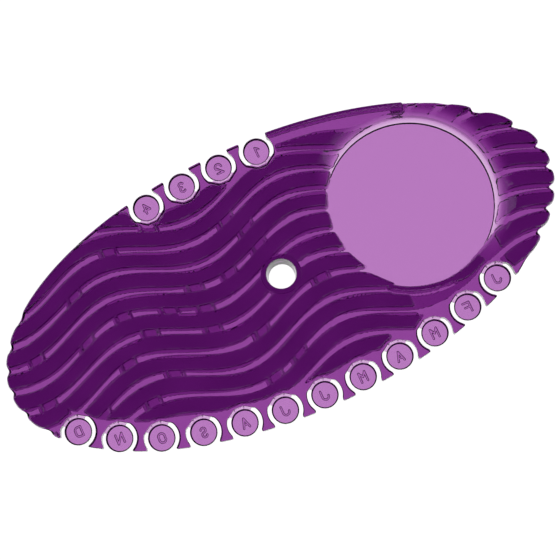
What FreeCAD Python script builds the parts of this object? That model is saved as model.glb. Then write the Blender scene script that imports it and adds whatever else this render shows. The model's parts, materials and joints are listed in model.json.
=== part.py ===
"""Scented air freshener card: a flexible oval moulding with wavy ribs, a round
label window, a hanging hole and sixteen break-off date tabs on thin film webs.

The card lies flat, ribbed face up (+Z), its long axis along X with the label
window towards +X. The origin is under the hanging hole, on the surface that the
card rests on. The date marks stand on the underside and read from below.
"""
import FreeCAD, Part

import Sketcher
import math
import os

V = FreeCAD.Vector
UP = V(0, 0, 1)

# name, value in millimetres or degrees, what it is
SIZES = [
    ("card_half_length", 95.0, "outline ellipse, along X"),
    ("card_half_width", 45.5, "outline ellipse, along Y"),
    ("rib_height", 1.75, "each face's ribs above the plate"),
    ("plate_thickness", 3.5, "plate between the two ribbed faces"),
    ("window_thickness", 2.0, "floor of the round label window"),
    ("window_x", 47.5, "window centre"),
    ("window_y", 4.0, "window centre"),
    ("window_radius", 27.4, "label window"),
    ("rim_shift", 1.1, "ribs keep off the window by this on average, and lean to its -X -Y side"),
    ("guard_width", 3.2, "smooth rib along the window's edge beside the month tabs"),
    ("guard_start", 243.0, "guard rib's first end, seen from the window"),
    ("guard_end", 311.0, "guard rib's last end, seen from the window"),
    ("bore_radius", 4.2, "hanging hole"),
    ("collar_radius", 6.5, "full-height collar round the hanging hole"),
    ("wave_length", 64.0, "one wave of a rib along X"),
    ("wave_height", 4.5, "half of a wave's rise"),
    ("wave_crest_x", 11.0, "where a wave crests"),
    ("row_pitch", 7.25, "rib to rib, across the card"),
    ("row_offset", 0.2, "first rib's centre line from the long axis"),
    ("rib_width", 5.7, "across one rib"),
    ("tab_radius", 4.4, "date tab"),
    ("tab_thickness", 2.0, "date tab"),
    ("tab_pitch", 13.5, "tab to tab along the rim"),
    ("month_row_x", -10.0, "middle of the month tabs' row"),
    ("week_row_x", -11.0, "middle of the week tabs' row"),
    ("pocket_radius", 5.7, "pocket round a tab"),
    ("mouth_half_angle", 56.0, "half of a pocket's mouth, seen from its tab"),
    ("rib_stop_radius", 7.7, "ribs stop this far from a tab's centre"),
    ("month_band", 10.0, "bare plate along the month tabs"),
    ("week_band", 8.6, "bare plate along the week tabs"),
    ("web_half_angle", 47.0, "half of a film web, seen from its tab"),
    ("web_facet_angle", 18.0, "half of the middle facet of a web's root"),
    ("web_wall_radius", 5.45, "corners of the pocket wall behind a web"),
    ("web_reach", 5.06, "corners of the web's outer edge"),
    ("web_thickness", 0.4, "film web"),
    ("hinge_reach", 4.95, "tab centre to the line the web bends about"),
    ("mark_height", 3.8, "date mark"),
    ("mark_width", 2.8, "date mark"),
    ("mark_stroke", 0.8, "date mark's stroke"),
    ("mark_relief", 0.25, "how far a date mark stands out"),
    ("notch_radius", 1.4, "rim notch where a channel runs out"),
]

MONTHS = [
    ("january", "J"), ("february", "F"), ("march", "M"), ("april", "A"),
    ("may", "M"), ("june", "J"), ("july", "J"), ("august", "A"),
    ("september", "S"), ("october", "O"), ("november", "N"), ("december", "D"),
]
WEEKS = [("1", "1"), ("2", "2"), ("3", "3"), ("4", "4")]

doc = FreeCAD.newDocument("AirFreshenerCard")
sheet = doc.addObject("Spreadsheet::Sheet", "Sizes")
for line, (alias, value, words) in enumerate(SIZES, start=1):
    sheet.set("A%d" % line, words)
    sheet.set("B%d" % line, str(value))
    sheet.setAlias("B%d" % line, alias)
doc.recompute()


def size(alias):
    """A driving size, read back from the sheet."""
    return float(sheet.get(alias))


PLATE_BOTTOM = size("rib_height")
PLATE_TOP = PLATE_BOTTOM + size("plate_thickness")
CARD_TOP = PLATE_TOP + size("rib_height")
MID_HEIGHT = 0.5 * CARD_TOP
TAB_BOTTOM = MID_HEIGHT - 0.5 * size("tab_thickness")
WINDOW = V(size("window_x"), size("window_y"), 0)
LEAST_RIB = 4.0  # cubic millimetres: smaller scraps of a rib are left out


# ---------------------------------------------------------------- layout
def polar(centre, radius, degrees):
    """A point at a distance and direction from a centre, in the XY plane."""
    turn = math.radians(degrees)
    return V(centre.x + radius * math.cos(turn), centre.y + radius * math.sin(turn), 0)


def rim_point(inset, x_middle, distance, side):
    """A point on the outline moved in by inset: distance is measured along it
    from x_middle, positive towards +X, and side is +1 or -1 for +Y or -Y."""
    half_length = size("card_half_length") - inset
    half_width = size("card_half_width") - inset
    step = math.radians(0.02)
    turn = math.acos(x_middle / half_length)
    travelled = 0.0
    way = 1 if distance > 0 else -1
    while travelled < abs(distance):
        travelled += step * math.hypot(half_length * math.sin(turn), half_width * math.cos(turn))
        turn -= way * step
    return V(half_length * math.cos(turn), side * half_width * math.sin(turn), 0)


def outward(point):
    """The outline's outward direction beside a point, in degrees."""
    across = point.y / size("card_half_width") ** 2
    along = point.x / size("card_half_length") ** 2
    return math.degrees(math.atan2(across, along))


def lay_out_tabs():
    """Every tab's name, mark, centre, and the direction its web points in."""
    tabs = []
    for names, side, stem in ((MONTHS, -1, "month"), (WEEKS, 1, "week")):
        for place, (name, mark) in enumerate(names):
            steps = 0.5 * (len(names) - 1) - place
            middle = size(stem + "_row_x")
            centre = rim_point(size("tab_radius"), middle, steps * size("tab_pitch"), side)
            tabs.append((stem, name, mark, centre, -90.0 * side))
    return tabs


TABS = lay_out_tabs()


def wave(x):
    """How far a rib's centre line stands above its row's base line at x."""
    turn = 2 * math.pi * (x - size("wave_crest_x")) / size("wave_length")
    return size("wave_height") * math.cos(turn)


# ---------------------------------------------------------------- helpers
def origin_plane(body, role):
    return next(plane for plane in body.Origin.OriginFeatures if plane.Role == role)


def plan_sketch(body, name, height):
    """A sketch on the body's own XY plane, lifted to a height."""
    sketch = body.newObject("Sketcher::SketchObject", name)
    sketch.AttachmentSupport = (origin_plane(body, "XY_Plane"), [""])
    sketch.MapMode = "FlatFace"
    sketch.setExpression("AttachmentOffset.Base.z", height)
    return sketch


def bound_circle(sketch, centre, alias):
    """A circle whose radius follows a cell of the sheet."""
    ring = sketch.addGeometry(Part.Circle(centre, UP, size(alias)))
    limit = sketch.addConstraint(Sketcher.Constraint("Radius", ring, size(alias)))
    sketch.setExpression("Constraints[%d]" % limit, "Sizes." + alias)


def prism(edges, low, high):
    """A solid standing on the closed outline that the edges make."""
    face = Part.Face(Part.Wire(edges))
    solid = face.extrude(V(0, 0, high - low))
    solid.translate(V(0, 0, low))
    return solid


def polygon(points):
    closed = points + points[:1]
    return [Part.LineSegment(a, b).toShape() for a, b in zip(closed, closed[1:])]


def arc(centre, radius, start, middle, end):
    """An arc through three directions, in degrees."""
    through = [polar(centre, radius, degrees) for degrees in (start, middle, end)]
    return Part.Arc(*through).toShape()


def line(start, end):
    return Part.LineSegment(start, end).toShape()


def cylinder(centre, radius, low, high):
    return Part.makeCylinder(radius, high - low, V(centre.x, centre.y, low), UP)


def oval(inset, low, high):
    """A solid of the card's outline, moved in by inset."""
    ring = Part.Ellipse(V(0, 0, 0), size("card_half_length") - inset, size("card_half_width") - inset)
    return prism([ring.toShape()], low, high)


def keep_large(solids, least_volume):
    """The solids without the slivers that their cuts leave."""
    return Part.makeCompound([solid for solid in solids if solid.Volume > least_volume])


def add_feature(label, shape):
    """A finished sub-part made with Part's own functions."""
    feature = doc.addObject("Part::Feature", label)
    feature.Label = label
    feature.Shape = shape
    return feature


# ---------------------------------------------------------------- base plate
def pocket_outline(centre, web_turn):
    """A pocket round a tab, open at the rim: a round wall that turns into three
    flat facets behind the tab's web."""
    out = outward(centre)
    mouth = size("mouth_half_angle")
    radius = size("pocket_radius")
    half = size("web_half_angle") + 3
    facet = size("web_facet_angle")
    corner = size("web_wall_radius")
    corners = [polar(centre, corner, web_turn + turn) for turn in (-half, -facet, facet, half)]
    right_start = out + mouth
    right_end = web_turn - half
    while right_end < right_start:
        right_end += 360
    left_start = web_turn + half
    left_end = out - mouth
    while left_end < left_start:
        left_end += 360
    reach = V(math.cos(math.radians(out)), math.sin(math.radians(out)), 0) * radius
    right_mouth = polar(centre, radius, right_start)
    left_mouth = polar(centre, radius, left_end)
    wall_in = polar(centre, radius, right_end)
    wall_out = polar(centre, radius, left_start)
    return [
        arc(centre, radius, right_start, 0.5 * (right_start + right_end), right_end),
        line(wall_in, corners[0]),
        line(corners[0], corners[1]),
        line(corners[1], corners[2]),
        line(corners[2], corners[3]),
        line(corners[3], wall_out),
        arc(centre, radius, left_start, 0.5 * (left_start + left_end), left_end),
        line(left_mouth, left_mouth + reach),
        line(left_mouth + reach, right_mouth + reach),
        line(right_mouth + reach, right_mouth),
    ]


def channel_ends():
    """Where the channels between the ribs run out through the card's two ends."""
    ends = []
    for row in range(-7, 7):
        base = size("row_offset") + (row + 0.5) * size("row_pitch")
        for end in (-1, 1):
            x = end * size("card_half_length")
            for _ in range(60):
                y = base + wave(x)
                square = 1 - (y / size("card_half_width")) ** 2
                x = end * size("card_half_length") * math.sqrt(max(square, 0))
            if abs(y) < 0.8 * size("card_half_width") and abs(x) > 60:
                ends.append(V(x, y, 0))
    clear = size("rib_stop_radius") + size("notch_radius")
    return [end for end in ends if all(end.distanceToPoint(tab[3]) > clear for tab in TABS)]


def make_base_plate():
    """The oval plate with its window recess, tab pockets and rim notches."""
    body = doc.addObject("PartDesign::Body", "base_plate")
    body.Label = "base_plate"
    outline = plan_sketch(body, "plate_outline", "Sizes.rib_height")
    half_length, half_width = size("card_half_length"), size("card_half_width")
    outline.addGeometry(Part.Ellipse(V(0, 0, 0), half_length, half_width))
    pad = body.newObject("PartDesign::Pad", "plate_pad")
    pad.Profile = outline
    pad.setExpression("Length", "Sizes.plate_thickness")
    doc.recompute()

    top = "Sizes.rib_height + Sizes.plate_thickness"
    window = plan_sketch(body, "window_sketch", top)
    bound_circle(window, WINDOW, "window_radius")
    recess = body.newObject("PartDesign::Pocket", "window_recess")
    recess.Profile = window
    recess.setExpression("Length", "Sizes.plate_thickness - Sizes.window_thickness")
    doc.recompute()

    collar = plan_sketch(body, "collar_sketch", top)
    bound_circle(collar, V(0, 0, 0), "collar_radius")
    collar_seat = body.newObject("PartDesign::Pocket", "collar_seat")
    collar_seat.Profile = collar
    collar_seat.Type = "ThroughAll"
    doc.recompute()

    pockets = plan_sketch(body, "tab_pocket_sketch", top)
    for _, _, _, centre, web_turn in TABS:
        for edge in pocket_outline(centre, web_turn):
            curve = edge.Curve
            if isinstance(curve, Part.Circle):
                curve = Part.ArcOfCircle(curve, edge.FirstParameter, edge.LastParameter)
            else:
                curve = Part.LineSegment(edge.Vertexes[0].Point, edge.Vertexes[-1].Point)
            pockets.addGeometry(curve)
    tab_pockets = body.newObject("PartDesign::Pocket", "tab_pockets")
    tab_pockets.Profile = pockets
    tab_pockets.Type = "ThroughAll"
    doc.recompute()

    notches = plan_sketch(body, "rim_notch_sketch", top)
    for end in channel_ends():
        bound_circle(notches, end, "notch_radius")
    rim_notches = body.newObject("PartDesign::Pocket", "rim_notches")
    rim_notches.Profile = notches
    rim_notches.Type = "ThroughAll"
    doc.recompute()
    return body


# ---------------------------------------------------------------- collar
def make_collar():
    """The full-height collar whose bore is the hanging hole."""
    outer = doc.addObject("Part::Cylinder", "collar_outer")
    outer.setExpression("Radius", "Sizes.collar_radius")
    inner = doc.addObject("Part::Cylinder", "collar_bore")
    inner.setExpression("Radius", "Sizes.bore_radius")
    for solid in (outer, inner):
        solid.setExpression("Height", "Sizes.plate_thickness + 2 * Sizes.rib_height")
    collar = doc.addObject("Part::Cut", "hanging_collar")
    collar.Base = outer
    collar.Tool = inner
    collar.Label = "hanging_collar"
    return collar


# ---------------------------------------------------------------- ribs
def wavy_edge(base, backwards=False):
    """A curve that follows the wave at a row's base line, past both ends."""
    span = size("card_half_length") + 2
    count = 48
    xs = [-span + 2 * span * step / count for step in range(count + 1)]
    points = [V(x, base + wave(x), 0) for x in xs]
    if backwards:
        points.reverse()
    curve = Part.BSplineCurve()
    curve.interpolate(points)
    return curve.toShape(), points[0], points[-1]


def wavy_strip(base, width, low, high):
    """A solid strip that follows the wave, its section a rectangle."""
    near, near_start, near_end = wavy_edge(base - 0.5 * width)
    far, far_start, far_end = wavy_edge(base + 0.5 * width, backwards=True)
    return prism([near, line(near_end, far_start), far, line(far_end, near_start)], low, high)


def guard_rib(low, high):
    """The smooth rib that follows the window's edge beside the month tabs."""
    inner = size("window_radius")
    outer = inner + size("guard_width")
    start, end = size("guard_start"), size("guard_end")
    middle = 0.5 * (start + end)
    return prism(
        [
            arc(WINDOW, outer, start, middle, end),
            line(polar(WINDOW, outer, end), polar(WINDOW, inner, end)),
            arc(WINDOW, inner, end, middle, start),
            line(polar(WINDOW, inner, start), polar(WINDOW, outer, start)),
        ],
        low,
        high,
    )


def bare_corner(low, high):
    """The bare plate between the guard rib and the last month tabs."""
    outer = size("window_radius") + size("guard_width")
    first = polar(WINDOW, outer, size("guard_start"))
    last = polar(WINDOW, outer, size("guard_end"))
    depth = size("card_half_width")
    box = Part.makeBox(last.x - first.x, depth, high - low, V(first.x, -depth, low))
    return box.cut(cylinder(WINDOW, outer, low, high))


def rib_stops(low, high, top_face):
    """What the ribs are cut back from: the window, the collar and the tabs."""
    stops = [cylinder(V(0, 0, 0), size("collar_radius"), low, high)]
    shift = size("rim_shift") * math.sqrt(0.5)
    ring = size("window_radius") + size("rim_shift")
    stops.append(cylinder(WINDOW + V(shift, shift, 0), ring, low, high))
    if top_face:
        stops += [guard_rib(low, high), bare_corner(low, high)]
    for _, _, _, centre, _ in TABS:
        stops.append(cylinder(centre, size("rib_stop_radius"), low, high))
    for stem, side, inset in (("month", -1, size("month_band")), ("week", 1, size("week_band"))):
        centres = [tab[3] for tab in TABS if tab[0] == stem]
        x_low = min(centre.x for centre in centres)
        x_high = max(centre.x for centre in centres)
        depth = size("card_half_width")
        box = Part.makeBox(x_high - x_low, depth, high - low, V(x_low, min(0, side * depth), low))
        stops.append(box.cut(oval(inset, low, high)))
    return stops


def cut_back(solid, stops):
    """What is left of a solid once each stop in turn is cut from it."""
    left = solid
    for stop in stops:
        if left.Volume > LEAST_RIB and stop.BoundBox.intersect(left.BoundBox):
            left = left.cut(stop)
    return left.Solids


def make_ribs(label, low, high, top_face):
    """One face's wavy ribs, cut to the card's outline and round its features."""
    reach = int(size("card_half_width") / size("row_pitch")) + 1
    outline = oval(0, low, high)
    stops = rib_stops(low, high, top_face)
    ribs = []
    for row in range(-reach, reach + 1):
        strip = wavy_strip(size("row_offset") + row * size("row_pitch"), size("rib_width"), low, high)
        ribs += cut_back(strip.common(outline), stops)
    return add_feature(label, keep_large(ribs, LEAST_RIB))


# ---------------------------------------------------------------- date marks
def bar(start, end, low, high):
    """A straight stroke between two points, with square ends."""
    along = (end - start).normalize()
    half = V(-along.y, along.x, 0) * 0.5 * size("mark_stroke")
    return prism(polygon([start - half, end - half, end + half, start + half]), low, high)


def bow(centre, radius, start, end, low, high):
    """A round stroke from one direction to another, in degrees."""
    half = 0.5 * size("mark_stroke")
    middle = 0.5 * (start + end)
    outer, inner = radius + half, radius - half
    edges = [
        arc(centre, outer, start, middle, end),
        line(polar(centre, outer, end), polar(centre, inner, end)),
        arc(centre, inner, end, middle, start),
        line(polar(centre, inner, start), polar(centre, outer, start)),
    ]
    return prism(edges, low, high)


def mark_strokes(mark, low, high):
    """A date mark's strokes round its own middle, in plain block letters."""
    x = 0.5 * (size("mark_width") - size("mark_stroke"))
    y = 0.5 * (size("mark_height") - size("mark_stroke"))
    half = 0.5 * y
    bars = {
        "1": [(0, y, 0, -y), (0, y, -x, half)],
        "2": [(x * 0.8, half * 0.35, -x, -y), (-x, -y, x, -y)],
        "3": [],
        "4": [(x * 0.5, -y, x * 0.5, y), (x * 0.5, y, -x, -half * 0.6), (-x, -half * 0.6, x, -half * 0.6)],
        "J": [(x, y, x, -y + x)],
        "F": [(-x, -y, -x, y), (-x, y, x, y), (-x, 0, x * 0.7, 0)],
        "M": [(-x, -y, -x, y), (-x, y, 0, 0), (0, 0, x, y), (x, y, x, -y)],
        "A": [(-x, -y, 0, y), (0, y, x, -y), (-x * 0.6, -half * 0.7, x * 0.6, -half * 0.7)],
        "S": [],
        "O": [(-x, half, -x, -half), (x, half, x, -half)],
        "N": [(-x, -y, -x, y), (-x, y, x, -y), (x, -y, x, y)],
        "D": [(-x, -y, -x, y), (-x, y, 0, y), (-x, -y, 0, -y), (x, y - x, x, x - y)],
    }
    bows = {
        "2": [(0, y - x, x, -25, 180)],
        "3": [(0, half, half, -90, 150), (0, -half, half, -150, 90)],
        "J": [(0, x - y, x, 180, 360)],
        "S": [(0, half, half, 20, 270), (0, -half, half, -160, 90)],
        "O": [(0, y - x, x, 0, 180), (0, x - y, x, 180, 360)],
        "D": [(0, y - x, x, 0, 90), (0, x - y, x, -90, 0)],
    }
    strokes = [bar(V(x0, y0, 0), V(x1, y1, 0), low, high) for x0, y0, x1, y1 in bars[mark]]
    strokes += [bow(V(cx, cy, 0), radius, a, b, low, high) for cx, cy, radius, a, b in bows.get(mark, [])]
    return strokes


def mark_solid(mark, centre):
    """A raised mark under a tab, which reads from below."""
    low = TAB_BOTTOM - size("mark_relief")
    high = TAB_BOTTOM + 0.1
    strokes = mark_strokes(mark, low, high)
    whole = strokes[0]
    if len(strokes) > 1:
        whole = whole.multiFuse(strokes[1:])
    whole = whole.removeSplitter().mirror(V(0, 0, 0), V(1, 0, 0))
    whole.translate(centre)
    return whole


# ---------------------------------------------------------------- tabs, webs
def make_tab(stem, name, mark, centre):
    """A round date tab with its mark."""
    label = "%s_tab_%s" % (stem, name)
    disc = doc.addObject("Part::Cylinder", label + "_disc")
    disc.setExpression("Radius", "Sizes.tab_radius")
    disc.setExpression("Height", "Sizes.tab_thickness")
    disc.Placement = FreeCAD.Placement(V(centre.x, centre.y, TAB_BOTTOM), FreeCAD.Rotation())
    relief = add_feature(label + "_mark", mark_solid(mark, centre))
    tab = doc.addObject("Part::MultiFuse", label)
    tab.Shapes = [disc, relief]
    tab.Label = label
    return tab


def make_web(stem, name, centre, web_turn):
    """The film that holds a tab: three flat facets with a ridge at each joint."""
    label = "%s_web_%s" % (stem, name)
    half = size("web_half_angle")
    facet = size("web_facet_angle")
    turns = [web_turn + turn for turn in (-half, -facet, facet, half)]
    corners = [polar(centre, size("web_reach"), turn) for turn in turns]
    inner = size("tab_radius")
    edges = [line(a, b) for a, b in zip(corners, corners[1:])]
    edges.append(line(corners[3], polar(centre, inner, turns[3])))
    edges.append(arc(centre, inner, turns[3], web_turn, turns[0]))
    edges.append(line(polar(centre, inner, turns[0]), corners[0]))
    low = MID_HEIGHT - 0.5 * size("web_thickness")
    high = MID_HEIGHT + 0.5 * size("web_thickness")
    film = prism(edges, low, high)
    ridges = []
    ridge_width, ridge_rise, ridge_reach = 0.35, 0.3, 4.75
    for turn in turns[1:3]:
        ridge = Part.makeBox(ridge_reach - inner + 0.2, ridge_width, high - low + 2 * ridge_rise)
        ridge.translate(V(inner - 0.2, -0.5 * ridge_width, low - ridge_rise))
        ridge.rotate(V(0, 0, 0), UP, turn)
        ridge.translate(centre)
        ridges.append(ridge.cut(cylinder(centre, inner, 0, CARD_TOP)))
    return add_feature(label, film.multiFuse(ridges).removeSplitter())


# ---------------------------------------------------------------- the card
nodes = [make_base_plate(), make_collar()]
nodes.append(make_ribs("front_wave_ribs", PLATE_TOP, CARD_TOP, True))
nodes.append(make_ribs("back_wave_ribs", 0.0, PLATE_BOTTOM, False))
nodes.append(add_feature("window_guard_rib", guard_rib(PLATE_TOP, CARD_TOP)))
for stem, name, mark, tab_centre, web_turn in TABS:
    nodes.append(make_tab(stem, name, mark, tab_centre))
    nodes.append(make_web(stem, name, tab_centre, web_turn))
doc.recompute()

for item in doc.Objects:
    if "Invalid" in item.State or "Error" in item.State:
        raise RuntimeError("%s did not build: %s" % (item.Label, item.State))
os.makedirs("parts", exist_ok=True)
for node in nodes:
    if node.Shape.isNull() or not node.Shape.isValid():
        raise RuntimeError("%s has no valid shape" % node.Label)
    node.Shape.exportStep("parts/%s.step" % node.Label)
    print(node.Label, round(node.Shape.Volume, 1), "mm3,", len(node.Shape.Solids), "solids")
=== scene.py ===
"""Looks of the air freshener card: a translucent purple moulding with wavy ribs, a
label window, a hanging hole and sixteen break-off date tabs on thin film webs.

Each piece is the zero surface of a field written as a formula, in millimetres:
negative inside the plastic, positive outside it. Places come from the frame.
"""

import json
import math

import bpy
import numpy as np
from mathutils import Matrix, Vector

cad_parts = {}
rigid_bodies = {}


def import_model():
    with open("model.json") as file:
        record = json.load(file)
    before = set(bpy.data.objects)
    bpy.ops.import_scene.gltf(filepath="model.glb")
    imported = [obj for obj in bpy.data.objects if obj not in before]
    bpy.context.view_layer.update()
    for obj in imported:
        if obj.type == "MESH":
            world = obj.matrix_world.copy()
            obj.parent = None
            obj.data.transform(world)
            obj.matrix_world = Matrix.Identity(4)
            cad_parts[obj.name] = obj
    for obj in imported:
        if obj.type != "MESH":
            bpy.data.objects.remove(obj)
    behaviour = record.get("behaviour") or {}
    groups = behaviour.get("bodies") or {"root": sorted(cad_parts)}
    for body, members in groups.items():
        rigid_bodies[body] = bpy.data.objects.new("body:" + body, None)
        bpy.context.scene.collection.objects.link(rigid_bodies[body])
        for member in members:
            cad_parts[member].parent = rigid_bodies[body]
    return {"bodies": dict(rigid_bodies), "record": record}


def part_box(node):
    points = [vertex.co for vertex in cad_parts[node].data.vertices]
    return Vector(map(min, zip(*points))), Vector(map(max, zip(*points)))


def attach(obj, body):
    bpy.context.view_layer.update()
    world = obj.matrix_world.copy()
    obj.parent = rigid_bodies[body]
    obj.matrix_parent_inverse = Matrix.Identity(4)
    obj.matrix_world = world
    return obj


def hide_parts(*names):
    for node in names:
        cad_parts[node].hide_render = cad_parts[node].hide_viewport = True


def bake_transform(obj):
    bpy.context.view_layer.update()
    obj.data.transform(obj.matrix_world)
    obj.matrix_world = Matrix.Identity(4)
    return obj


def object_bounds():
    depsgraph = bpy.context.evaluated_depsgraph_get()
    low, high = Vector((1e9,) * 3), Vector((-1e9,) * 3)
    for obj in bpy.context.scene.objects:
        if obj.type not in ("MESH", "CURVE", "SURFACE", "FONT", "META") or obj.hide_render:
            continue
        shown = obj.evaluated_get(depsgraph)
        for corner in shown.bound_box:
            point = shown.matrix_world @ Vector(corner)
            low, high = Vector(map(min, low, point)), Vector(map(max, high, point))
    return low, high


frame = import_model()
cad_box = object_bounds()

MM = 0.001  # one millimetre, in Blender's metres


# ---------------------------------------------------------------- sizes, in mm
def mount(name):
    return next(m for m in frame["record"]["mounts"] if m["name"] == name)


def middle(node):
    """A CAD node's middle at rest, in mm."""
    low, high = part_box(node)
    return np.array((low + high) / 2) / MM


HALF_LENGTH = (cad_box[1][0] - cad_box[0][0]) / 2 / MM
HALF_WIDTH = (cad_box[1][1] - cad_box[0][1]) / 2 / MM
CARD_TOP = (cad_box[1][2] - cad_box[0][2]) / MM
MID = CARD_TOP / 2
PLATE_HALF = 1.75
RIB_RISE = MID - PLATE_HALF

WINDOW = np.array(mount("label_window")["pos_m"]) / MM
WINDOW_RADIUS = 27.4
WINDOW_FLOOR = WINDOW[2]
WINDOW_INSET = 0.1
BORE_RADIUS = mount("hanging_hole")["dims"]["r_mm"]
BORE_DRAFT = 0.1
COLLAR_RADIUS = 6.5

WAVE_LENGTH, WAVE_HEIGHT, WAVE_CREST = 65.3, 4.6, 11.9
ROW_PITCH, ROW_OFFSET = 7.35, 0.1
RIB_WIDTH = 5.05
RIB_DRAFT, RIB_ROOT = 0.1, 2.2
BACK_ALONG = -0.9  # how far the far face's rows are moved along the card
BACK_SWAY, SWAY_LENGTH, SWAY_STEP = 0.3, 41.0, 2.4  # and how they wander, row by row

TAB_RADIUS, TAB_HALF = 4.4, 1.0
POCKET_RADIUS, POCKET_ROUND, MOUTH_HALF, MOUTH_ROUND = 5.7, 0.5, 4.72, 0.3
FACET_TURN, FACET_REACH = 34.0, 5.2  # the flats that the film's root runs along
RIB_STOP = 6.2  # from a tab's middle to the nearest rib
CARD_CELL, TAB_CELL, WEB_CELL = 0.36, 0.2, 0.13  # each mesh's grid
FAR = 1e3  # further off than anything on the card
LOOSE = 9.0  # enough to lift a limit where it doesn't hold

TABS = {}
for body in frame["bodies"]:
    if body != "card":
        stem, name = body.split("_")
        TABS[body] = middle("%s_tab_%s" % (stem, name))
MARKS = dict(zip(
    ["month_" + word for word in (
        "january", "february", "march", "april", "may", "june",
        "july", "august", "september", "october", "november", "december")]
    + ["week_%d" % number for number in range(1, 5)],
    "JFMAMJJASOND1234",
))


# ---------------------------------------------------------------- field helpers
def both(a, b, radius):
    """Inside both a and b, with the edge between them rounded."""
    corner = np.hypot(np.maximum(a + radius, 0), np.maximum(b + radius, 0)) - radius
    return np.where((a > -radius) & (b > -radius), corner, np.maximum(a, b))


def either(a, b, radius):
    """Inside a or b, with the corner between them filled."""
    return -both(-a, -b, radius)


BEVEL_LEAN = 58.0  # past the angle at which the plastic reflects all the light from below


def bevelled(side, face, width):
    """Inside both side and face, with a steep bevel between them that looks dark from above."""
    lean = math.radians(BEVEL_LEAN)
    bevel = math.sin(lean) * (side + width) + math.cos(lean) * face
    return np.maximum(np.maximum(side, face), bevel)


def ellipse(x, y):
    """About the distance from the card's outline, positive outside it."""
    near = np.hypot(x / HALF_LENGTH, y / HALF_WIDTH)
    slope = np.hypot(x / HALF_LENGTH ** 2, y / HALF_WIDTH ** 2)
    return near * (near - 1) / np.maximum(slope, 1e-6)  # the slope is nothing in the middle


def smooth_step(value, low, high):
    """Nothing up to low, one from high on."""
    t = np.clip((value - low) / (high - low), 0, 1)
    return t * t * (3 - 2 * t)


def turned(x, y, degrees):
    """x and y in axes turned by an angle."""
    c, s = math.cos(math.radians(degrees)), math.sin(math.radians(degrees))
    return x * c + y * s, y * c - x * s


# ---------------------------------------------------------------- mesh from a field
ROUNDS = 3  # of closing in on a crossing
NUDGE = 0.004
FLATTEN = 0.08  # keeps a corner near its crossings where the surface is flat
SHARP_ANGLE = math.radians(32)


def crossing(field, start, axis, cell, before, after):
    """Where the surface cuts some grid edges, and which way it faces there."""
    near, far = np.zeros(len(start)), np.ones(len(start))
    step = np.zeros(3)
    step[axis] = cell
    for _ in range(ROUNDS):
        share = near + (far - near) * before / (before - after)
        points = start + share[:, None] * step
        value = field(*points.T)
        same = (value < 0) == (before < 0)
        near, before = np.where(same, share, near), np.where(same, value, before)
        far, after = np.where(same, far, share), np.where(same, after, value)
    value = field(*points.T)
    slope = [field(*(points + NUDGE * unit).T) - value for unit in np.eye(3)]
    facing = np.stack(slope, axis=1)
    return points, facing / np.maximum(np.linalg.norm(facing, axis=1, keepdims=True), 1e-12)


def surface_net(field, low, high, cell):
    """Corners and quads of a field's zero surface, on a grid of that cell, edges kept sharp.

    Each cell that the surface passes through has one corner, where the flat pieces of surface at
    its crossings meet, and each crossed grid edge has one quad, between the four cells round it.
    """
    axes = [np.arange(a - cell, b + 2 * cell, cell) for a, b in zip(low, high)]
    grid = field(axes[0][:, None, None], axes[1][None, :, None], axes[2][None, None, :])
    grid = np.broadcast_to(grid, [len(axis) for axis in axes])
    origin = np.array([axis[0] for axis in axes])
    inside = grid < 0
    shape = [count - 1 for count in grid.shape]
    filled = sum(
        inside[i:i + shape[0], j:j + shape[1], k:k + shape[2]].astype(np.int8)
        for i in (0, 1) for j in (0, 1) for k in (0, 1)
    )
    mixed = (filled > 0) & (filled < 8)
    number = np.full(shape, -1, np.int64)
    number[mixed] = np.arange(mixed.sum())
    cells = np.argwhere(mixed)

    quads, places, facings, owners = [], [], [], []
    for axis in range(3):
        u, v = (axis + 1) % 3, (axis + 2) % 3
        here = [slice(None)] * 3
        there = [slice(None)] * 3
        here[axis], there[axis] = slice(0, -1), slice(1, None)
        spots = np.argwhere(inside[tuple(here)] != inside[tuple(there)])
        ring = []
        for du, dv in ((-1, -1), (0, -1), (0, 0), (-1, 0)):
            cell_at = spots.copy()
            cell_at[:, u] += du
            cell_at[:, v] += dv
            ring.append(number[tuple(cell_at.T)])
        beyond = spots.copy()
        beyond[:, axis] += 1
        ends = grid[tuple(spots.T)], grid[tuple(beyond.T)]
        place, facing = crossing(field, origin + spots * cell, axis, cell, *ends)
        for owner in ring:
            owners.append(owner)
            places.append(place)
            facings.append(facing)
        ring = np.array(ring).T
        leaving = inside[tuple(spots.T)]
        ring[~leaving] = ring[~leaving][:, ::-1]
        quads.append(ring)

    owners, places, facings = np.concatenate(owners), np.concatenate(places), np.concatenate(facings)

    def total(weights):
        return np.bincount(owners, weights, len(cells))

    middle_at = np.stack([total(places[:, i]) for i in range(3)], axis=1) / total(None)[:, None]
    offset = ((places - middle_at[owners]) * facings).sum(1)
    pull = np.stack([total(facings[:, i] * offset) for i in range(3)], axis=1)
    spread = np.stack([
        np.stack([total(facings[:, i] * facings[:, j]) for j in range(3)], axis=1) for i in range(3)
    ], axis=1) + FLATTEN * np.eye(3)
    points = middle_at + np.linalg.solve(spread, pull[:, :, None])[:, :, 0]
    corner = origin + cells * cell
    return np.clip(points, corner, corner + cell), np.concatenate(quads)


def mesh_from_field(name, field, low, high, cell):
    points, quads = surface_net(field, low, high, cell)
    points = np.clip(points, low, high)
    mesh = bpy.data.meshes.new(name)
    mesh.from_pydata((points * MM).tolist(), [], quads.tolist())
    mesh.shade_smooth()
    mesh.set_sharp_from_angle(angle=SHARP_ANGLE)
    mesh.update()
    piece = bpy.data.objects.new(name, mesh)
    bpy.context.scene.collection.objects.link(piece)
    return piece


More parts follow.
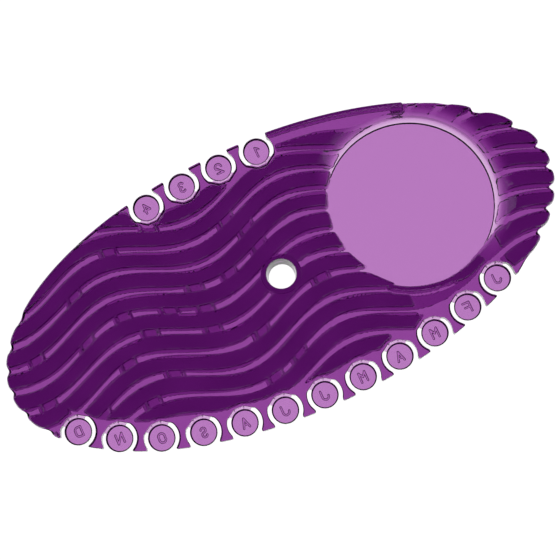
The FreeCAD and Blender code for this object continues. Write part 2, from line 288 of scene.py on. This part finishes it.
# ---------------------------------------------------------------- the card
def row_place(x, y):
    """How far across the rows a point is, and how steep they run there."""
    turn = 2 * math.pi * (x - WAVE_CREST) / WAVE_LENGTH
    base = y - ROW_OFFSET - WAVE_HEIGHT * np.cos(turn)
    lean = np.hypot(1, 2 * math.pi * WAVE_HEIGHT / WAVE_LENGTH * np.sin(turn))
    return base, lean


def from_rib_middle(x, y, sway=0):
    """The distance from the middle of the nearest rib."""
    base, lean = row_place(x, y)
    channel = np.floor(base / ROW_PITCH)
    base = base + sway * np.sin(2 * math.pi * x / SWAY_LENGTH + SWAY_STEP * channel)
    return np.abs((base / ROW_PITCH + 0.5) % 1 - 0.5) * ROW_PITCH / lean


EDGE_INSET = 0.12  # keeps the moulding inside the frame's box
NOTCH_REACH = 1.5
WINDOW_END = (2.0, 68, 84)  # the notches' depth, and between which places it grows
PLAIN_END = (0.9, 72, 88)


def rim(x, y):
    """The outline, which dips where the channels run out at the card's two ends."""
    channel = 0.5 * ROW_PITCH - from_rib_middle(x, y)
    depth = WINDOW_END[0] * smooth_step(x, *WINDOW_END[1:])
    depth = depth + PLAIN_END[0] * smooth_step(-x, *PLAIN_END[1:])
    return ellipse(x, y) + EDGE_INSET + depth * np.exp(-(channel / NOTCH_REACH) ** 2)


def pockets(x, y):
    """The pockets round the tabs, each open at the rim."""
    nearest = FAR
    for body, centre in TABS.items():
        web = 90 if body.startswith("month") else -90
        u, v = x - centre[0], y - centre[1]
        room = np.hypot(u, v) - POCKET_RADIUS
        for turn in (-FACET_TURN, 0, FACET_TURN):
            along, _ = turned(u, v, web + turn)
            room = np.maximum(room, along - FACET_REACH)
        out = math.degrees(math.atan2(centre[1] / HALF_WIDTH ** 2, centre[0] / HALF_LENGTH ** 2))
        along, side = turned(u, v, out)
        mouth = np.maximum(np.abs(side) - MOUTH_HALF, -along)
        nearest = np.minimum(nearest, either(room, mouth, MOUTH_ROUND))
    return nearest


def window_out(x, y):
    """The distance from the window's middle."""
    return np.hypot(x - WINDOW[0], y - WINDOW[1])


def window_turn(x, y):
    """The direction from the window's middle, in degrees from +X."""
    return np.degrees(np.arctan2(y - WINDOW[1], x - WINDOW[0])) % 360


SIDE_START, SIDE_END = -0.35, 0.2  # cosines between which the window's +X +Y side begins


def window_side(x, y):
    """One on the window's +X +Y side, fading to nothing on the other."""
    toward = (x - WINDOW[0] + y - WINDOW[1]) / np.maximum(window_out(x, y), 1) / math.sqrt(2)
    return smooth_step(toward, SIDE_START, SIDE_END)


RING_RADIUS, RING_SHIFT = 28.1, 2.2


def ring_out(x, y):
    """The distance from the ring at which the ribs stop round the window."""
    return np.hypot(x - WINDOW[0] - RING_SHIFT, y - WINDOW[1] - RING_SHIFT) - RING_RADIUS


MONTH_BAND, WEEK_BAND, TOP_BAND = 10.0, 8.6, 4.6  # from the rim to the ribs
TOP_BAND_END = 55.0
BAND_STEP, STEP_START, STEP_END = 1.4, 15, 24  # where the month band narrows
ROW_ENDS = (  # a rib's row, and its end's place and slant
    (-4, 35.5, -0.6),
    (-5, 23.9, 0),
    (-2, 29.6, 1.5),
)
ROW_ENDS_LIMIT, ROW_END_ROUND = 60, 1.2  # the same rows go on past the window
GUARD_TURN, GUARD_HALF_TURN = 264, 34  # the guard rib's middle and half its length, in degrees
GUARD_NEAR, GUARD_HALF = 27.3, 0.9
GUARD_GROWTH, GROWTH_START, GROWTH_END = 0.7, 268, 284
GUARD_GAP, GUARD_GAP_HALF, GAP_ROUND = 30.0, 15.0, 0.4  # beside its middle, where ribs stop short
ARC = math.radians(1) * 29.0  # mm along the guard rib for one degree
BARE_MIDDLE, BARE_HALF, BARE_START = 51.3, 16.5, 26.9  # the bare front beside the guard rib
EDGE_GAP, POCKET_GAP, COLLAR_LAP = 0.15, 0.3, 0.3
END_ROUND = 0.8  # a rib end's corners, in plan


def rib_room(x, y, edge, front):
    """Where ribs may stand: clear of the tabs, the window, the collar and the bands."""
    room = both(edge + EDGE_GAP, POCKET_GAP - pockets(x, y), POCKET_ROUND)
    tabs = FAR
    for centre in TABS.values():
        tabs = np.minimum(tabs, np.hypot(x - centre[0], y - centre[1]) - RIB_STOP)
    room = both(room, -tabs, END_ROUND)
    room = both(room, -ring_out(x, y), END_ROUND)
    room = both(room, COLLAR_RADIUS - COLLAR_LAP - np.hypot(x, y), END_ROUND)
    months = [centre[0] for body, centre in TABS.items() if body.startswith("month")]
    weeks = [centre[0] for body, centre in TABS.items() if body.startswith("week")]
    month_band = MONTH_BAND - BAND_STEP * smooth_step(x, STEP_START, STEP_END)
    bands = (
        (-1, month_band, min(months), max(months)),
        (1, WEEK_BAND, min(weeks), max(weeks)),
        (1, TOP_BAND, max(weeks), TOP_BAND_END),
    )
    for side, depth, start, end in bands:
        along = np.abs(x - 0.5 * (start + end)) - 0.5 * (end - start)
        band = np.maximum(np.maximum(along, -(edge + depth)), -side * y)
        room = both(room, -band, END_ROUND)
    base, _ = row_place(x, y)
    row = np.round(base / ROW_PITCH)
    for end_row, end, slant in ROW_ENDS:
        past = (x - end + slant * (base - end_row * ROW_PITCH)) / math.hypot(1, slant)
        here = (row == end_row) & (x < ROW_ENDS_LIMIT)
        room = both(room, np.where(here, past, -LOOSE), ROW_END_ROUND)
    out, turn = window_out(x, y), window_turn(x, y)
    gap = np.maximum(out - GUARD_GAP, np.abs(turn - GUARD_TURN) * ARC - GUARD_GAP_HALF)
    room = both(room, -gap, GAP_ROUND)
    if front:
        bare = np.maximum(np.abs(x - BARE_MIDDLE) - BARE_HALF, y - WINDOW[1])
        room = both(room, -np.maximum(bare, BARE_START - out), POCKET_ROUND)
    return room


CROWN_DIP = 0.2
RAMP_START, RAMP_SLOPE = -0.1, 0.35


def crown_dip(x, y):
    """How far a crown lies under its full height: it wanders a little, as a moulded face does."""
    along = np.sin(x / 5.3 + 0.9 * np.sin(y / 6.1))  # lengths in mm that never fall into step
    across = np.sin(y / 4.7 + x / 11.0)
    return CROWN_DIP * (1 + along * across)


def ring_dip(x, y):
    """How far a crown lies under its full height where it ramps up from the window's groove."""
    ramp = RAMP_START + RAMP_SLOPE * np.maximum(ring_out(x, y), 0)
    return window_side(x, y) * np.maximum(RIB_RISE - ramp, 0)


def rib_solid(room, height, dip, round_over):
    """A rib that stands on the plate: room in plan, a drafted wall, a rounded crown."""
    wall = room + RIB_DRAFT * height
    return np.maximum(both(wall, height - RIB_RISE + dip, round_over), -height - RIB_ROOT)


def guard_plan(x, y):
    """The smooth rib that hugs the window beside the month tabs and widens towards January."""
    out, turn = window_out(x, y), window_turn(x, y)
    half = GUARD_HALF + GUARD_GROWTH * smooth_step(turn, GROWTH_START, GROWTH_END)
    band = np.abs(out - GUARD_NEAR - half) - half
    return both(band, (np.abs(turn - GUARD_TURN) - GUARD_HALF_TURN) * ARC, END_ROUND)


# the channel, counted in rows from the card's long axis, and the place along the card
BARS = (
    (4.5, -33), (3.5, -48), (3.5, -9), (2.5, -64), (2.5, -4),
    (1.5, -83), (1.5, -27), (1.5, -15), (1.5, -2.5),
    (0.5, -66), (0.5, -52), (0.5, -37.5), (0.5, -26.5),
    (-0.5, -85), (-0.5, -46), (-0.5, -27), (-1.5, -56.5), (-1.5, -13), (-1.5, 11.5),
    (-2.5, -70), (-2.5, -44), (-3.5, -54), (-3.5, -15), (-3.5, -5),
)
BAR_HALF, BAR_END, BAR_LAP = 2.1, 0.8, 0.4


def bars(x, y, ends):
    """Bars that close a channel here and there: whole, or only their ends."""
    base, lean = row_place(x, y)
    nearest = FAR
    for row, place in BARS:
        across = np.abs(base - row * ROW_PITCH) / lean - 0.5 * (ROW_PITCH - RIB_WIDTH) - BAR_LAP
        along = np.abs(x - place) - BAR_HALF - BAR_END
        if ends:
            along = np.maximum(along, -along - 1.5 * BAR_END)
        nearest = np.minimum(nearest, np.maximum(across, along))
    return nearest


GROOVE_DEPTH, GROOVE_START, GROOVE_WALL, GROOVE_WIDTH, GROOVE_SLOPE = 1.2, 0.15, 0.38, 3.4, 0.34
LEDGE_WIDTH, LEDGE_SLOPE, RECESS_DRAFT = 1.5, 1.2, 0.2


def groove(x, y):
    """How far the lower face steps up in the groove along the window's +X +Y side."""
    out = window_out(x, y) - WINDOW_RADIUS
    wall = (out + GROOVE_START) / GROOVE_WALL
    ramp = (GROOVE_WIDTH - out) * GROOVE_SLOPE / GROOVE_DEPTH
    return GROOVE_DEPTH * window_side(x, y) * np.clip(np.minimum(wall, ramp), 0, 1)


BEAD_HALF, BEAD_MIDDLE, BEAD_REACH, BEAD_DIP, BEAD_ROUND = 0.5, 35, 24, 0.1, 0.2
PLATE_BEVEL, FILLET = 0.3, 0.3


def rim_bead(x, y, edge, height):
    """A thin raised edge along the bare stretch above the window."""
    ring = np.abs(edge + BEAD_HALF) - BEAD_HALF
    along = np.maximum(np.maximum(np.abs(x - BEAD_MIDDLE) - BEAD_REACH, -y), -pockets(x, y))
    return both(both(ring, along, FILLET), np.abs(height) - MID + BEAD_DIP, BEAD_ROUND)


def plate_and_recess(x, y, z, edge):
    """The plate with the window's recess cut into its front, and the recess by itself."""
    height = z - MID
    side = both(edge, -pockets(x, y), POCKET_ROUND)
    plate = bevelled(side, groove(x, y) - height - PLATE_HALF, PLATE_BEVEL)
    plate = np.maximum(plate, height - PLATE_HALF)
    plate = either(plate, rim_bead(x, y, edge, height), FILLET)
    rise = z - WINDOW_FLOOR
    ledge = window_side(x, y) * (LEDGE_WIDTH + LEDGE_SLOPE * np.maximum(rise, 0))
    wall = window_out(x, y) - WINDOW_RADIUS + WINDOW_INSET - (RECESS_DRAFT * rise + ledge)
    recess = np.maximum(wall, -rise)
    return np.maximum(plate, -recess), recess


GUARD_EDGE, RIB_ROUND, CROWN_ROUND = 0.3, 0.9, 0.5
COLLAR_FILLET, BORE_ROUND = 0.4, 0.35


def card_field(x, y, z):
    edge = rim(x, y)
    height = z - MID
    plate, recess = plate_and_recess(x, y, z, edge)

    guard = np.maximum(guard_plan(x, y), edge + GUARD_EDGE)
    front_plan = np.minimum(from_rib_middle(x, y) - 0.5 * RIB_WIDTH, bars(x, y, True))
    front_plan = both(front_plan, rib_room(x, y, edge, True), RIB_ROUND)
    front_plan = np.minimum(front_plan, guard)
    back_x = x - BACK_ALONG
    back_plan = from_rib_middle(back_x, y, BACK_SWAY) - 0.5 * RIB_WIDTH
    back_plan = np.minimum(back_plan, bars(back_x, y, False))
    back_plan = both(back_plan, rib_room(x, y, edge, False), RIB_ROUND)
    back_plan = np.minimum(back_plan, guard)

    dip = np.maximum(crown_dip(x, y), ring_dip(x, y))
    front_ribs = rib_solid(front_plan, height - PLATE_HALF, dip, CROWN_ROUND)
    uncut = LOOSE * (1 - window_side(x, y))  # on its other side, ribs stand out over the window
    front_ribs = np.maximum(front_ribs, -recess - uncut)
    back_ribs = rib_solid(back_plan, -height - PLATE_HALF, ring_dip(x, y), 0)
    body = either(plate, np.minimum(front_ribs, back_ribs), FILLET)

    collar = np.maximum(np.hypot(x, y) - COLLAR_RADIUS, np.abs(height) - MID)
    body = either(body, collar, COLLAR_FILLET)
    bore = BORE_RADIUS + BORE_DRAFT * z - np.hypot(x, y)
    return both(body, bore, BORE_ROUND)


def make_card():
    low = (-HALF_LENGTH, -HALF_WIDTH, 0)
    high = (HALF_LENGTH, HALF_WIDTH, CARD_TOP)
    card = mesh_from_field("card_moulding", card_field, low, high, CARD_CELL)
    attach(card, "card")
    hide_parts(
        "base_plate", "hanging_collar", "front_wave_ribs", "back_wave_ribs", "window_guard_rib"
    )
    return card


# ---------------------------------------------------------------- date marks
MARK_HIGH, MARK_WIDE, STROKE, RELIEF = 3.8, 2.8, 0.75, 0.45
MARK_BEVEL, TAB_BEVEL = 0.2, 0.45


def mark_strokes(mark):
    """A mark's straight strokes, and its bows: middle, radius, first and last direction."""
    x, y = 0.5 * (MARK_WIDE - STROKE), 0.5 * (MARK_HIGH - STROKE)
    half = 0.5 * y
    lines = {
        "1": [(0, y, 0, -y), (0, y, -x, half)],
        "2": [(x * 0.8, half * 0.35, -x, -y), (-x, -y, x, -y)],
        "4": [
            (x * 0.5, -y, x * 0.5, y), (x * 0.5, y, -x, -half * 0.6),
            (-x, -half * 0.6, x, -half * 0.6),
        ],
        "J": [(x, y, x, -y + x)],
        "F": [(-x, -y, -x, y), (-x, y, x, y), (-x, 0, x * 0.7, 0)],
        "M": [(-x, -y, -x, y), (-x, y, 0, 0), (0, 0, x, y), (x, y, x, -y)],
        "A": [(-x, -y, 0, y), (0, y, x, -y), (-x * 0.6, -half * 0.7, x * 0.6, -half * 0.7)],
        "O": [(-x, half, -x, -half), (x, half, x, -half)],
        "N": [(-x, -y, -x, y), (-x, y, x, -y), (x, -y, x, y)],
        "D": [(-x, -y, -x, y), (-x, y, 0, y), (-x, -y, 0, -y), (x, y - x, x, x - y)],
    }
    bows = {
        "2": [(0, y - x, x, -25, 180)],
        "3": [(0, half, half, -90, 150), (0, -half, half, -150, 90)],
        "J": [(0, x - y, x, 180, 360)],
        "S": [(0, half, half, 20, 270), (0, -half, half, -160, 90)],
        "O": [(0, y - x, x, 0, 180), (0, x - y, x, 180, 360)],
        "D": [(0, y - x, x, 0, 90), (0, x - y, x, -90, 0)],
    }
    return lines.get(mark, []), bows.get(mark, [])


def mark_plan(mark, u, v):
    """The distance from a mark's outline, in plan."""
    lines, bows = mark_strokes(mark)
    nearest = FAR
    for x0, y0, x1, y1 in lines:
        along = ((u - x0) * (x1 - x0) + (v - y0) * (y1 - y0)) / ((x1 - x0) ** 2 + (y1 - y0) ** 2)
        along = np.clip(along, 0, 1)
        away = np.hypot(u - x0 - along * (x1 - x0), v - y0 - along * (y1 - y0))
        nearest = np.minimum(nearest, away)
    for cx, cy, radius, start, end in bows:
        turn = np.degrees(np.arctan2(v - cy, u - cx))
        off = (turn - 0.5 * (start + end) + 180) % 360 - 180
        held = np.minimum(np.abs(off), 0.5 * (end - start))
        angle = np.radians(0.5 * (start + end) + np.sign(off) * held)
        away = np.hypot(u - cx - radius * np.cos(angle), v - cy - radius * np.sin(angle))
        nearest = np.minimum(nearest, away)
    return nearest - 0.5 * STROKE


def make_tab(body, centre):
    mark = MARKS[body]

    def field(x, y, z):
        u, v = x - centre[0], y - centre[1]
        side = np.hypot(u, v) - TAB_RADIUS
        disc = np.maximum(bevelled(side, MID - TAB_HALF - z, TAB_BEVEL), z - MID - TAB_HALF)
        relief = bevelled(mark_plan(mark, -u, v), MID - TAB_HALF - RELIEF - z, MARK_BEVEL)
        relief = np.maximum(relief, z - MID)
        return np.minimum(disc, relief)

    reach = np.array([TAB_RADIUS, TAB_RADIUS, 0])
    base = np.array([centre[0], centre[1], MID])
    low, high = base - reach, base + reach
    low[2] -= TAB_HALF + RELIEF
    high[2] += TAB_HALF
    stem, name = body.split("_")
    tab = mesh_from_field("%s_disc_%s" % (stem, name), field, low, high, TAB_CELL)
    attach(tab, body)
    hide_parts("%s_tab_%s" % (stem, name))
    return tab


# ---------------------------------------------------------------- film webs
WEB_HALF_ANGLE, WEB_HALF, WEB_ARC, WEB_ROUND = 47.0, 0.55, 5.0, 0.08
WEB_START = 2.5  # nothing of the film lies nearer the tab's middle
RIDGE_TURN, RIDGE_ARC, RIDGE_HALF, RIDGE_LEAN = 18.0, 4.8, 0.22, 0.6
WEB_LAP, ROOT_LAP = 0.08, 0.04  # how far the film runs into the disc and the card


def make_web(body, centre):
    web = 90 if body.startswith("month") else -90

    def field(x, y, z):
        u, v = turned(x - centre[0], y - centre[1], web)
        out = np.hypot(u, v)
        turn = np.abs(np.degrees(np.arctan2(v, u)))
        end = (turn - WEB_HALF_ANGLE) * math.radians(1) * WEB_ARC
        plan = np.maximum(TAB_RADIUS - WEB_LAP - out, end)
        for facet in (-FACET_TURN, 0, FACET_TURN):
            along, _ = turned(u, v, facet)
            plan = np.maximum(plan, along - FACET_REACH - ROOT_LAP)
        film = both(plan, np.abs(z - MID) - WEB_HALF, WEB_ROUND)
        ridge = np.abs(turn - RIDGE_TURN) * math.radians(1) * RIDGE_ARC - RIDGE_HALF
        ridge = ridge + RIDGE_LEAN * (np.abs(z - MID) - WEB_HALF)
        return np.minimum(film, np.maximum(ridge, plan))

    span, rise = FACET_REACH + 0.3, WEB_HALF + 0.4
    low = np.array([centre[0] - span, centre[1] - span, MID - rise])
    high = np.array([centre[0] + span, centre[1] + span, MID + rise])
    if web > 0:
        low[1] = centre[1] + WEB_START
    else:
        high[1] = centre[1] - WEB_START
    stem, name = body.split("_")
    film = mesh_from_field("%s_film_%s" % (stem, name), field, low, high, WEB_CELL)
    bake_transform(film)
    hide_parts("%s_web_%s" % (stem, name))
    return film


# ---------------------------------------------------------------- materials
DYE = (0.55, 0.0, 0.6, 1.0)  # absorption colour of the dyed plastic
DYE_DENSITY = 820.0  # per metre
PLASTIC_IOR, PLASTIC_SPECULAR = 1.48, 0.3
SKIN_DEPTH = 0.00005  # metres


def dyed_plastic(name, roughness, grain, bump):
    """Clear plastic with a dye all through it, and a moulded skin's faint ripple."""
    material = bpy.data.materials.new(name)
    material.use_nodes = True
    nodes, links = material.node_tree.nodes, material.node_tree.links
    shader = nodes["Principled BSDF"]
    shader.inputs["Base Color"].default_value = (1, 1, 1, 1)
    shader.inputs["Transmission Weight"].default_value = 1.0
    shader.inputs["IOR"].default_value = PLASTIC_IOR
    shader.inputs["Specular IOR Level"].default_value = PLASTIC_SPECULAR
    place = nodes.new("ShaderNodeTexCoord")
    ripple = nodes.new("ShaderNodeTexNoise")
    ripple.inputs["Scale"].default_value = grain
    ripple.inputs["Detail"].default_value = 3.0
    links.new(place.outputs["Object"], ripple.inputs["Vector"])
    spread = nodes.new("ShaderNodeMapRange")
    spread.inputs["To Min"].default_value = roughness * 0.5
    spread.inputs["To Max"].default_value = roughness * 1.5
    links.new(ripple.outputs["Fac"], spread.inputs["Value"])
    links.new(spread.outputs["Result"], shader.inputs["Roughness"])
    skin = nodes.new("ShaderNodeBump")
    skin.inputs["Strength"].default_value = bump
    skin.inputs["Distance"].default_value = SKIN_DEPTH
    links.new(ripple.outputs["Fac"], skin.inputs["Height"])
    links.new(skin.outputs["Normal"], shader.inputs["Normal"])
    dye = nodes.new("ShaderNodeVolumeAbsorption")
    dye.inputs["Color"].default_value = DYE
    dye.inputs["Density"].default_value = DYE_DENSITY
    links.new(dye.outputs["Volume"], nodes["Material Output"].inputs["Volume"])
    return material


FLOOR_DROP, GLOW_START, GLOW_END = 0.12, 0.2, 0.45  # metres
GLOW_NEAR, GLOW_FAR = 0.8, 0.4
FLOOR_REACH = 6.0


def floor_material():
    """A pale floor that glows like a light table round the card and fades outwards."""
    material = bpy.data.materials.new("pale_floor")
    material.use_nodes = True
    nodes, links = material.node_tree.nodes, material.node_tree.links
    shader = nodes["Principled BSDF"]
    shader.inputs["Base Color"].default_value = (0.9, 0.9, 0.9, 1)
    shader.inputs["Roughness"].default_value = 0.9
    shader.inputs["Specular IOR Level"].default_value = 0.0
    shader.inputs["Emission Color"].default_value = (1, 1, 1, 1)
    place = nodes.new("ShaderNodeTexCoord")
    distance = nodes.new("ShaderNodeVectorMath")
    distance.operation = "LENGTH"
    links.new(place.outputs["Object"], distance.inputs[0])
    glow = nodes.new("ShaderNodeMapRange")
    glow.interpolation_type = "SMOOTHSTEP"
    glow.inputs["From Min"].default_value = GLOW_START
    glow.inputs["From Max"].default_value = GLOW_END
    glow.inputs["To Min"].default_value = GLOW_NEAR
    glow.inputs["To Max"].default_value = GLOW_FAR
    links.new(distance.outputs["Value"], glow.inputs["Value"])
    links.new(glow.outputs["Result"], shader.inputs["Emission Strength"])
    return material


# ---------------------------------------------------------------- floor, light, camera
def make_floor():
    mesh = bpy.data.meshes.new("floor")
    drop = cad_box[0][2] - FLOOR_DROP
    corners = [(FLOOR_REACH * x, FLOOR_REACH * y, drop) for x, y in ((-1, -1), (1, -1), (1, 1), (-1, 1))]
    mesh.from_pydata(corners, [], [(0, 1, 2, 3)])
    floor = bpy.data.objects.new("floor", mesh)
    bpy.context.scene.collection.objects.link(floor)
    mesh.materials.append(floor_material())


def soft_light(name, place, power, width):
    """A square lamp aimed at the card."""
    lamp = bpy.data.lights.new(name, "AREA")
    lamp.energy = power
    lamp.size = width
    light = bpy.data.objects.new(name, lamp)
    light.location = place
    light.rotation_euler = (-Vector(place)).to_track_quat("-Z", "Y").to_euler()
    bpy.context.scene.collection.objects.link(light)


SKY_LOW, SKY_HIGH = 0.7, 0.03  # brightness low down and overhead
SKY_START, SKY_END = 0.3, 0.85  # the heights between which it fades


def make_sky():
    """Dim overhead and bright low down, like a room of pale walls under a dark ceiling."""
    world = bpy.data.worlds.new("soft_studio")
    world.use_nodes = True
    nodes, links = world.node_tree.nodes, world.node_tree.links
    nodes["Background"].inputs["Color"].default_value = (1, 1, 1, 1)
    place = nodes.new("ShaderNodeTexCoord")
    split = nodes.new("ShaderNodeSeparateXYZ")
    links.new(place.outputs["Generated"], split.inputs["Vector"])
    fade = nodes.new("ShaderNodeMapRange")
    fade.interpolation_type = "SMOOTHSTEP"
    fade.inputs["From Min"].default_value = SKY_START
    fade.inputs["From Max"].default_value = SKY_END
    fade.inputs["To Min"].default_value = SKY_LOW
    fade.inputs["To Max"].default_value = SKY_HIGH
    links.new(split.outputs["Z"], fade.inputs["Value"])
    links.new(fade.outputs["Result"], nodes["Background"].inputs["Strength"])
    bpy.context.scene.world = world


def make_light():
    soft_light("key_light", (-0.5, 0.7, 0.9), 0.8, 0.6)
    soft_light("fill_light", (0.8, -0.3, 0.8), 0.4, 0.8)
    make_sky()


CAMERA_DISTANCE, CAMERA_AZIMUTH, CAMERA_TILT = 0.5207, 258.3, 9.85
CAMERA_UP = 65.86  # the card's direction that is upright in the view
CAMERA_TARGET = Vector((-0.0019, -0.0011, 0.003))
CAMERA_LENS, SENSOR = 103.4, 36.0
CAMERA_SHIFT = 0.0041, 0.0019


def make_camera():
    tilt, turn = math.radians(CAMERA_TILT), math.radians(CAMERA_AZIMUTH)
    back = Vector((math.sin(tilt) * math.cos(turn), math.sin(tilt) * math.sin(turn), math.cos(tilt)))
    up = Vector((math.cos(math.radians(CAMERA_UP)), math.sin(math.radians(CAMERA_UP)), 0))
    up = (up - back * up.dot(back)).normalized()
    right = up.cross(back)
    data = bpy.data.cameras.new("camera")
    data.lens = CAMERA_LENS
    data.sensor_width = SENSOR
    data.shift_x, data.shift_y = CAMERA_SHIFT
    camera = bpy.data.objects.new("camera", data)
    place = CAMERA_TARGET + back * CAMERA_DISTANCE
    camera.matrix_world = Matrix.Translation(place) @ Matrix((right, up, back)).transposed().to_4x4()
    bpy.context.scene.collection.objects.link(camera)
    bpy.context.scene.camera = camera


# ---------------------------------------------------------------- the whole scene
card_material = dyed_plastic("card_plastic", 0.05, 300.0, 0.3)
tab_material = dyed_plastic("tab_plastic", 0.06, 500.0, 0.3)
film_material = dyed_plastic("film_plastic", 0.08, 900.0, 0.3)

make_card().data.materials.append(card_material)
for body, centre in TABS.items():
    make_tab(body, centre).data.materials.append(tab_material)
    make_web(body, centre).data.materials.append(film_material)
make_floor()
make_light()
make_camera()
bpy.context.scene.view_settings.view_transform = "Standard"
